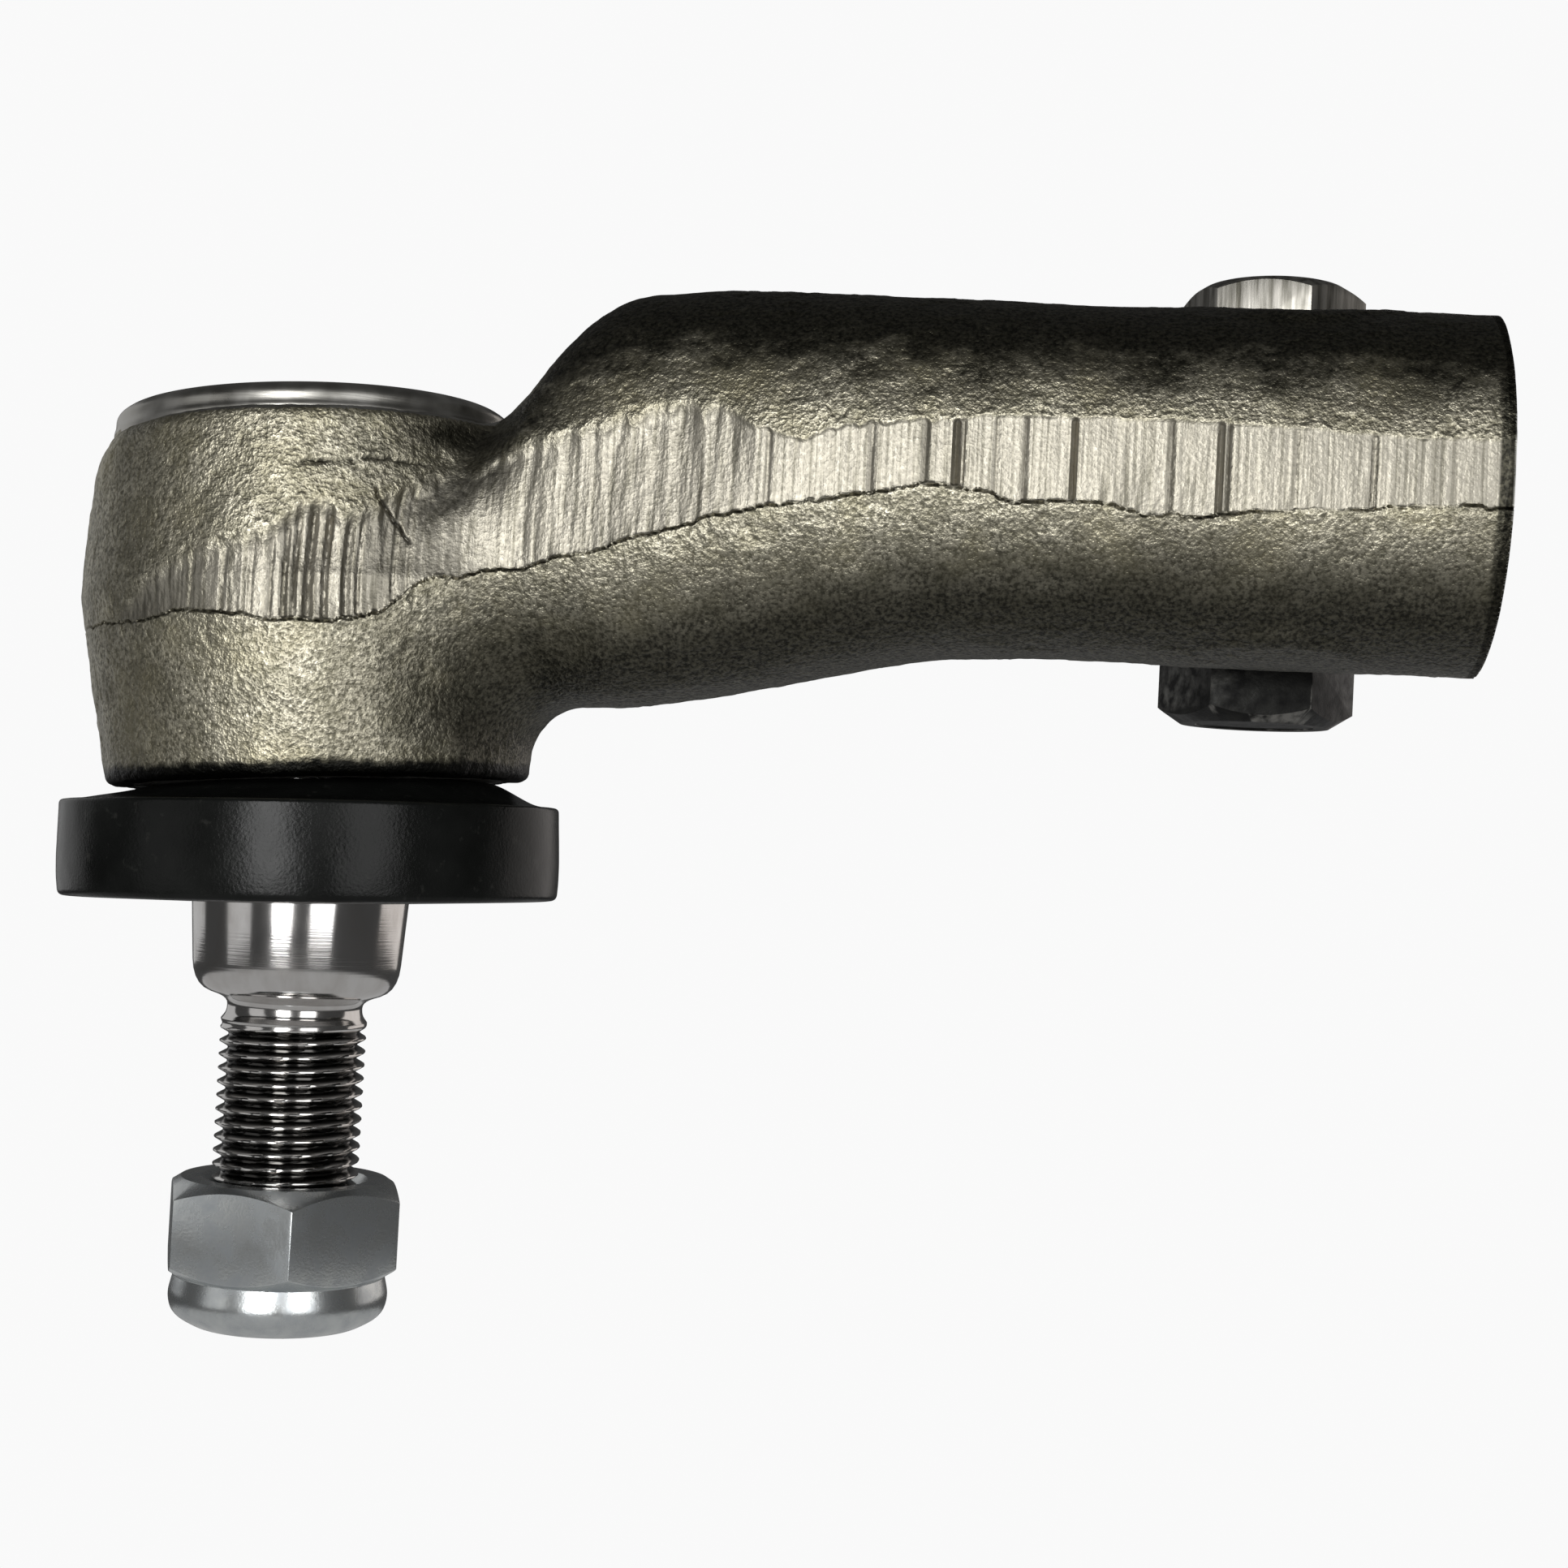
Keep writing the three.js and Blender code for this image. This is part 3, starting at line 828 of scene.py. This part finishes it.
def forged_steel():
    n = Nodes("forged_steel", Metallic=0.95)
    grain = n.noise(0.45, 2, rough=0.6)
    lumps = n.noise(0.9, 3)
    patch = n.noise(3.2, 5)
    tint = n.noise(9, 3)
    streak = n.noise(0.42, 3, (1, 1, 0.015))
    land = n.painted("land")
    skin = n.mix(n.spread(grain, 0.36, 0.6), (0.13, 0.122, 0.09, 1), (0.44, 0.413, 0.325, 1))
    skin = n.mix(n.spread(patch, 0.44, 0.6, 0, 0.5), skin, (0.16, 0.15, 0.105, 1))
    skin = n.mix(n.spread(tint, 0.5, 0.7, 0, 0.3), skin, (0.42, 0.38, 0.24, 1))
    trimmed = n.mix(n.spread(streak, 0.36, 0.54), (0.145, 0.137, 0.112, 1), (0.3, 0.283, 0.24, 1))
    # dark scaled skin, which also carries the painted shade on the tops, undersides, crook and recess
    scale_and_shade = n.mix(n.spread(grain, 0.38, 0.7), (0.008, 0.008, 0.006, 1), (0.07, 0.066, 0.048, 1))
    colour = n.mix(n.math("MULTIPLY", land, 0.9), skin, trimmed)
    # painted shade: the low parts of the relief, the skin's hollows and the land's grooves, are painted
    # darker
    colour = n.mix(n.spread(n.painted("shade_height"), 0, 1, 0.4, 0), colour, (0.09, 0.08, 0.055, 1))
    # painted shade and dark scaled skin, where the mask is painted
    colour = n.mix(n.math("MULTIPLY", n.painted("scale_and_shade"), 0.95), colour, scale_and_shade)
    # painted shade: the step under the land, the folds and the band round the boss's foot are painted
    # near black
    colour = n.mix(n.math("MAXIMUM", n.painted("crease_shade"), n.painted("foot_shade")), colour,
                   (0.006, 0.006, 0.005, 1))
    rough = n.spread(grain, 0.3, 0.7, 0.47, 0.37)
    rest = n.spread(land, 0, 1, 1, 0.4)
    bump = n.bump(n.math("MULTIPLY", lumps, rest), 0.1)
    bump = n.bump(n.math("MULTIPLY", grain, rest), 0.12, bump)
    bump = n.bump(n.math("MULTIPLY", streak, land), 0.04, bump)
    return n.finish(colour, rough, bump)


def machined_steel():
    n = Nodes("machined_steel", Metallic=1.0)
    rings = n.noise(0.25, 2, (0.02, 0.02, 1))
    stain = n.noise(5, 3)
    colour = n.mix(n.spread(stain, 0.4, 0.7), (0.34, 0.33, 0.3, 1), (0.5, 0.49, 0.46, 1))
    return n.finish(colour, n.spread(stain, 0.3, 0.7, 0.24, 0.4), n.bump(rings, 0.01))


def ground_steel(name="ground_steel", light=0.62, rough=(0.11, 0.17)):
    n = Nodes(name, Metallic=1.0)
    rings = n.noise(0.16, 2, (0.01, 0.01, 1))
    stain = n.noise(2.5, 4, (1, 1, 0.5))
    colour = n.mix(n.spread(stain, 0.4, 0.75), grey(light, 0.02), grey(light * 0.8, 0.04))
    # painted shade: the thread's roots are painted near black
    colour = n.mix(n.math("MULTIPLY", n.painted("root"), 0.95), colour, (0.02, 0.019, 0.017, 1))
    return n.finish(colour, n.spread(stain, 0.3, 0.7, *rough), n.bump(rings, 0.005))


def zinc():
    n = Nodes("zinc_plate", Metallic=0.95)
    cloud, fine = n.noise(2.5, 4), n.noise(0.3, 3)
    colour = n.mix(n.spread(cloud, 0.3, 0.7), (0.44, 0.465, 0.48, 1), (0.62, 0.64, 0.63, 1))
    return n.finish(colour, n.spread(cloud, 0.3, 0.7, 0.31, 0.22), n.bump(fine, 0.012))


def black_oxide():
    n = Nodes("black_oxide", Metallic=0.6, Specular_IOR_Level=0.1)
    wear, fine = n.noise(1.6, 5), n.noise(0.3, 3)
    edge = n.spread(n.add("ShaderNodeNewGeometry").outputs["Pointiness"], 0.53, 0.6)
    bare = n.math("MULTIPLY", edge, n.spread(wear, 0.4, 0.65, 0, 0.7))
    dark = n.mix(n.spread(wear, 0.3, 0.7), (0.003, 0.003, 0.003, 1), (0.012, 0.012, 0.011, 1))
    colour = n.mix(bare, dark, (0.2, 0.195, 0.18, 1))
    return n.finish(colour, n.spread(wear, 0.3, 0.7, 0.5, 0.34), n.bump(fine, 0.02))


def worn_steel():
    n = Nodes("worn_steel", Metallic=0.9)
    streak, wear = n.noise(1.1, 3, (1, 1, 0.08)), n.noise(2, 4)
    colour = n.mix(n.spread(streak, 0.38, 0.6), (0.08, 0.076, 0.062, 1), (0.27, 0.26, 0.235, 1))
    return n.finish(colour, n.spread(wear, 0.3, 0.7, 0.38, 0.28), n.bump(streak, 0.03))


def pressed_steel():
    n = Nodes("pressed_steel", Metallic=0.95)
    cloud, fine = n.noise(4, 4), n.noise(0.5, 3)
    colour = n.mix(n.spread(cloud, 0.3, 0.7), (0.27, 0.26, 0.22, 1), (0.42, 0.41, 0.37, 1))
    return n.finish(colour, n.spread(cloud, 0.3, 0.7, 0.45, 0.3), n.bump(fine, 0.02))


def rubber():
    n = Nodes("boot_rubber", Metallic=0.0, Specular_IOR_Level=0.13)
    cloud, fine, dust = n.noise(7, 3), n.noise(0.35, 3), n.noise(1.3, 5)
    colour = n.mix(n.spread(cloud, 0.3, 0.7), (0.003, 0.0033, 0.003, 1), (0.007, 0.0075, 0.007, 1))
    colour = n.mix(n.spread(dust, 0.62, 0.8, 0, 0.3), colour, (0.05, 0.05, 0.045, 1))
    return n.finish(colour, n.spread(cloud, 0.3, 0.7, 0.2, 0.28), n.bump(fine, 0.03))


def plastic(name, dark, light):
    n = Nodes(name, Metallic=0.0)
    cloud, fine = n.noise(3, 3), n.noise(0.4, 2)
    return n.finish(n.mix(n.spread(cloud, 0.3, 0.7), dark, light),
                    n.spread(cloud, 0.3, 0.7, 0.35, 0.5), n.bump(fine, 0.01))


# ---- turned and pressed pieces ----

def taper_r(z):
    """The stud's radius on its taper."""
    return TAPER["end_r"] + (z - TAPER["end"]) * TAPER["slope"]


def build_stud():
    start, end, r = STUD_THREAD["start"], STUD_THREAD["end"], STUD_THREAD["r"]
    neck = math.degrees(math.asin(NECK_R / BALL_R))
    steps = int((start - end) / STUD_THREAD["pitch"] * 12)
    wall = [(r, z) for z in np.linspace(end + 1.1, start, steps)]
    foot = rounded((0, end), (r - 1.3, end, 0.3), (r, end + 1.1))
    root = rounded(
        (r, start), (UNDERCUT_R, start + 0.8, 0.6), (UNDERCUT_R, TAPER["end"] - 3.4, 1.4),
        (taper_r(TAPER["end"]) - 0.2, TAPER["end"] - 2.1, 2.8),
        (taper_r(TAPER["top"]), TAPER["top"], 0.6), (NECK_R, TAPER["top"] + 4, 1.5),
        (NECK_R, -BALL_R * math.cos(math.radians(neck)) - 0.4, 0.4),
    )
    ball = arc(BALL_R, neck + 1, 180 - math.degrees(math.acos(BALL_FLAT / BALL_R)), 40)
    profile = [*foot[:-1], *wall, *root[1:], *ball, (0, BALL_FLAT)]
    stud = make("stud_steel", *at_ball(turned(profile, 192, thread=STUD_THREAD)), ground_steel())
    x, y, z = (coordinates(stud) - BALL).T
    on_thread = smoothstep(start, start - 0.3, z)
    # painted shade: the thread's roots are painted near black
    paint(stud, "root", on_thread * smoothstep(r - 0.15, r - 0.75, np.hypot(x, y)))
    return stud


def cone_end(face, wide, end, inward, chamfer):
    """The points of nut_body's cutter at one end, from the axis out."""
    if not chamfer:
        return [(0, end - inward), (wide, end - inward)]
    drop = (wide - face) * math.tan(math.radians(33))
    return [(0, end - 0.01 * inward), (face, end - 0.01 * inward), (wide, end + inward * drop)]


def nut_body(flats, low, high, turn, low_chamfer, high_chamfer, face_share):
    """A hexagon whose ends are turned down to a cone. face_share is how much of the flats' width
    is left of an end's face."""
    corner = flats / math.sqrt(3)
    face, wide = face_share * flats / 2, corner + 1
    bottom = cone_end(face, wide, low, 1, low_chamfer)
    top = cone_end(face, wide, high, -1, high_chamfer)[::-1]
    body = make("nut_body", *prism(6, corner, low, high, turn))
    return combine(body, "INTERSECT", turned([*bottom, *top], 192))


def threaded_hole(low, high, chamfer, r, depth, pitch):
    """A cutter with a thread, chamfered at both ends."""
    steps = int((high - low) / pitch * TURN_STEPS)
    wall = [(r, z) for z in np.linspace(low + chamfer, high - chamfer, steps)]
    thread = dict(r=r, depth=depth, pitch=pitch, start=low - pitch, end=high + pitch)
    return turned([
        (0, low - 1), (r + chamfer, low - 1), (r + chamfer, low), *wall,
        (r + chamfer, high), (r + chamfer, high + 1), (0, high + 1),
    ], 96, thread=thread)


def build_lock_nut():
    top, hex_end, end, collar = NUT["top"], NUT["hex_end"], NUT["end"], NUT["collar"]
    nut = nut_body(NUT["flats"], hex_end, top, NUT["turn"], True, True, 0.93)
    cap = turned(rounded(
        (0, end), (NUT["mouth"], end), (collar - 2.6, end + 0.1, 1.2), (collar - 0.5, end + 1.3, 1.4),
        (collar - 0.05, end + 3.2, 0.8), (collar - 0.6, hex_end + 0.3, 0.4),
        (collar - 0.9, hex_end + 1.2), (0, hex_end + 1.2),
    ), 160)
    combine(nut, "UNION", cap)
    pocket = turned([
        (0, end - 1), (NUT["mouth"] + 0.3, end - 1), (NUT["mouth"], end + 0.6),
        (INSERT["seat"], end + 0.7), (INSERT["seat"], hex_end - 0.5), (0, hex_end - 0.5),
    ], 96)
    combine(nut, "DIFFERENCE", threaded_hole(hex_end - 1, top, 0.9, **NUT_THREAD), pocket)
    ease_edges(nut, 0.22, 24, 3)
    shift(nut, BALL)
    return dressed(nut, "lock_nut_body", zinc())


def build_insert():
    low, high = (corner[2] - BALL[2] for corner in node_box("lock_nut_insert"))
    hole, r = INSERT["hole"], INSERT["r"]
    ring = turned(rounded(
        (hole, low), (r, low, 0.3), (r, high, 0.3), (hole, high, 0.3), (hole, low + 0.2),
    ), 96, ring=True)
    blue = plastic("nylon", (0.05, 0.16, 0.38, 1), (0.08, 0.22, 0.48, 1))
    return make("nylon_insert", *at_ball(ring), blue)


def build_boot():
    """The rubber cap: its dome meets the housing's cant, its rim the stud's."""
    r, top, shoulder, bottom = BOOT["r"], BOOT["top"], BOOT["shoulder"], BOOT["bottom"]
    lip, dome = BOOT["lip"], BOOT["dome"]
    outline = rounded(
        (lip, bottom - 0.2), (lip + 1.2, bottom - 0.35, 0.4), (r - 3, bottom, 2),
        (r - 0.2, bottom + 0.1, 0.7), (r + 0.05, bottom + 3, 2), (r, shoulder - 3, 2),
        (r - 0.1, shoulder, 0.5), (r - 2.4, shoulder + 0.15, 1.2), (dome + 4.3, top - 0.9, 2),
        (dome + 1.6, top, 1), (dome, top + 0.1, 0.5), (dome - 0.9, top - 0.8, 0.5),
        (dome - 0.4, top - 2.2, 1), (r - 3.4, shoulder - 2.6, 2), (r - 3.4, bottom + 2.4, 1),
        (lip + 0.6, bottom + 1.8, 0.8), (lip, bottom + 1.0, 0.3), (lip, bottom),
        steps=6,
    )
    verts, faces = turned(denser(outline, 0.5), 216, ring=True)
    rise = smoothstep(shoulder, top, verts[:, 2])
    cant = BOOT_CANT + (SOCKET_CANT - BOOT_CANT) * rise
    x = verts[:, 0] * np.cos(cant) - verts[:, 2] * np.sin(cant)
    z = verts[:, 2] * np.cos(cant) + verts[:, 0] * np.sin(cant)
    verts = np.stack([x, verts[:, 1], z], 1)
    out = verts * [1, 1, 0] / np.maximum(np.hypot(verts[:, 0], verts[:, 1]), 1)[:, None]
    verts = verts + out * (0.06 * noise(verts, 8, 40) + 0.02 * noise(verts, 2, 41) - 0.05)[:, None]
    return make("boot_rubber_cap", verts + BALL, faces, rubber())


def denser(line, step):
    """A closed profile with points at least every step millimetres."""
    points = []
    for a, b in zip(line, [*line[1:], line[0]]):
        count = max(1, math.ceil(np.linalg.norm(np.subtract(b, a)) / step))
        points += [np.add(a, np.subtract(b, a) * i / count) for i in range(count)]
    return points


def build_clamp_bolt():
    low, high = (corner[2] for corner in node_box("clamp_bolt"))
    seat, r, dish, wide = -EAR["top"], M12["r"], M12_HEAD["dish"], M12_HEAD["washer"]
    head = nut_body(M12_HEAD["flats"], low, seat - 0.5, M12_HEAD["turn"], True, False, 0.88)
    hollow = turned(rounded(
        (0, low - 1), (dish, low - 1), (dish - 0.4, low + 0.25, 0.3), (0, low + 0.35),
    ), 96)
    washer = turned([(0, seat - 1), (wide, seat - 1), (wide, seat - 0.02), (0, seat - 0.02)], 96)
    combine(head, "DIFFERENCE", hollow)
    combine(head, "UNION", washer)
    ease_edges(head, 0.25, 24, 3)
    steps = int((high - M12["start"] - 1.2) / M12["pitch"] * TURN_STEPS)
    wall = [(r, z) for z in np.linspace(M12["start"], high - 1.2, steps)]
    shank = [(0, seat - 2), (r, seat - 2), *wall, (r - 1.2, high), (0, high)]
    combine(head, "UNION", turned(shank, 96, thread=dict(M12, end=high + 2)))
    finish_edges(head)
    shift(head, AT_BOLT)
    return dressed(head, "clamp_bolt_steel", black_oxide())


def build_clamp_nut():
    high = node_box("clamp_nut")[1][2]
    nut = nut_body(M12_NUT["flats"], EAR["top"] + 0.02, high, M12_NUT["turn"], False, True, 0.9)
    combine(nut, "DIFFERENCE", threaded_hole(EAR["top"], high, 0.6, **M12_NUT_THREAD))
    ease_edges(nut, 0.22, 24, 3)
    shift(nut, AT_BOLT)
    return dressed(nut, "clamp_nut_steel", worn_steel())


def build_cover():
    r, low, high = COVER["r"], COVER["low"], COVER["high"]
    dish, hub = high - COVER["dish"], high - COVER["hub"]
    plate = turned(rounded(
        (0, low), (r, low, 0.3), (r, high, 0.4), (14.5, high, 1), (12.8, dish, 1), (7, dish, 1),
        (5.6, hub, 0.8), (0, hub),
    ), 144)
    return make("cover_disc", *at_ball(plate, SOCKET_CANT), pressed_steel())


def refinish(node, material):
    """Gives a node that keeps its CAD shape a better finish."""
    piece = frame["nodes"][node]
    piece.data.materials.clear()
    piece.data.materials.append(material)
    finish_edges(piece)


# ---- assembly ----

def settle(piece, body, node):
    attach(piece, body)
    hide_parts(node)


def assemble():
    settle(build_housing(), "housing", "housing")
    settle(build_cover(), "housing", "cover_plate")
    settle(build_clamp_bolt(), "housing", "clamp_bolt")
    settle(build_clamp_nut(), "housing", "clamp_nut")
    settle(build_stud(), "stud", "ball_stud")
    settle(build_lock_nut(), "nut", "lock_nut")
    settle(build_insert(), "nut_carrier", "lock_nut_insert")
    boot = build_boot()
    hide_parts("dust_boot")
    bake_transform(boot)
    refinish_hidden()


def refinish_hidden():
    """The pieces inside the socket and the boot keep their CAD shapes."""
    acetal = plastic("acetal", (0.6, 0.57, 0.47, 1), (0.72, 0.7, 0.6, 1))
    spring = ground_steel("spring_steel", 0.3, (0.3, 0.45))
    refinish("lower_ball_seat", acetal)
    refinish("upper_ball_seat", acetal)
    refinish("preload_spring", spring)
    refinish("cover_seal", rubber())
    refinish("boot_base_ring", zinc())


# ---- camera, floor and light ----

CAMERA = dict(at=(-43.08, -250.55, -41.03), yaw=6.65, pitch=1.67, roll=3.01, lens=53.35)
FLOOR_DROP = 3000  # how far the light table is below the part, so that the camera sees none of it
FLOOR_R = 9000
BACKDROP = 0.95    # how pale the studio looks
DIM = 0.06         # how much light its walls give
LIT = (-80, 0, -20)  # what the panels of light point at
LIT_FAR = 600      # how far from it they stand


def add_camera():
    yaw, pitch, roll = (math.radians(CAMERA[k]) for k in ("yaw", "pitch", "roll"))
    forward = Vector((-math.sin(yaw) * math.cos(pitch), math.cos(yaw) * math.cos(pitch), math.sin(pitch)))
    level = Vector((math.cos(yaw), math.sin(yaw), 0))
    upright = level.cross(forward)
    right = math.cos(roll) * level + math.sin(roll) * upright
    up = -math.sin(roll) * level + math.cos(roll) * upright
    data = bpy.data.cameras.new("camera")
    data.lens, data.sensor_width = CAMERA["lens"], 36
    data.clip_start = 0.01
    camera = bpy.data.objects.new("camera", data)
    camera.matrix_world = Matrix((
        (right.x, up.x, -forward.x, CAMERA["at"][0] * MM),
        (right.y, up.y, -forward.y, CAMERA["at"][1] * MM),
        (right.z, up.z, -forward.z, CAMERA["at"][2] * MM),
        (0, 0, 0, 1),
    ))
    bpy.context.scene.collection.objects.link(camera)
    bpy.context.scene.camera = camera


def softbox(name, turn, rise, size, glow, tint=(1, 1, 1)):
    """A soft panel that faces the part, turn degrees round from -Y towards +X."""
    turn, rise = math.radians(turn), math.radians(rise)
    off = Vector((math.sin(turn) * math.cos(rise), -math.cos(turn) * math.cos(rise), math.sin(rise)))
    data = bpy.data.lights.new(name, "AREA")
    data.shape, data.size, data.size_y = "RECTANGLE", size[0] * MM, size[1] * MM
    data.energy = glow * math.pi * data.size * data.size_y
    data.color = tint
    lamp = bpy.data.objects.new(name, data)
    lamp.location = (Vector(LIT) + LIT_FAR * off) * MM
    lamp.rotation_euler = (-off).to_track_quat("-Z", "Y").to_euler()
    lamp.visible_camera = False
    bpy.context.scene.collection.objects.link(lamp)


def add_lights():
    softbox("key", -5, 6, (200, 420), 11.5)
    softbox("left", -52, 5, (300, 420), 0.6)
    softbox("right", 38, 5, (280, 420), 3.6)
    softbox("back_right", 140, 8, (600, 420), 0.8, (1, 0.94, 0.9))
    softbox("back_left", 240, 8, (420, 380), 0.5)


def add_floor():
    """A pale light table far below the part."""
    floor_z = CAD_BOX[0][2] / MM - FLOOR_DROP
    turn = np.linspace(0, 2 * math.pi, 96, endpoint=False)
    verts = np.c_[FLOOR_R * np.cos(turn), FLOOR_R * np.sin(turn), np.full(96, floor_z)]
    n = Nodes("pale_floor", Roughness=0.9, Emission_Strength=0.38, Emission_Color=WHITE)
    floor = make("floor", verts, [tuple(range(96))], n.finish(grey(0.9)))


def add_room():
    """A room that looks pale to the camera but gives little light itself."""
    world = bpy.data.worlds.new("studio")
    world.use_nodes = True
    tree = world.node_tree
    dim, pale = tree.nodes["Background"], tree.nodes.new("ShaderNodeBackground")
    for background, strength in ((dim, DIM), (pale, BACKDROP)):
        background.inputs["Color"].default_value = WHITE
        background.inputs["Strength"].default_value = strength
    ray, pick = tree.nodes.new("ShaderNodeLightPath"), tree.nodes.new("ShaderNodeMixShader")
    tree.links.new(ray.outputs["Is Camera Ray"], pick.inputs[0])
    tree.links.new(dim.outputs[0], pick.inputs[1])
    tree.links.new(pale.outputs[0], pick.inputs[2])
    tree.links.new(pick.outputs[0], tree.nodes["World Output"].inputs[0])
    bpy.context.scene.world = world
    bpy.context.scene.view_settings.view_transform = "Standard"


add_camera()
assemble()
add_floor()
add_room()
add_lights()
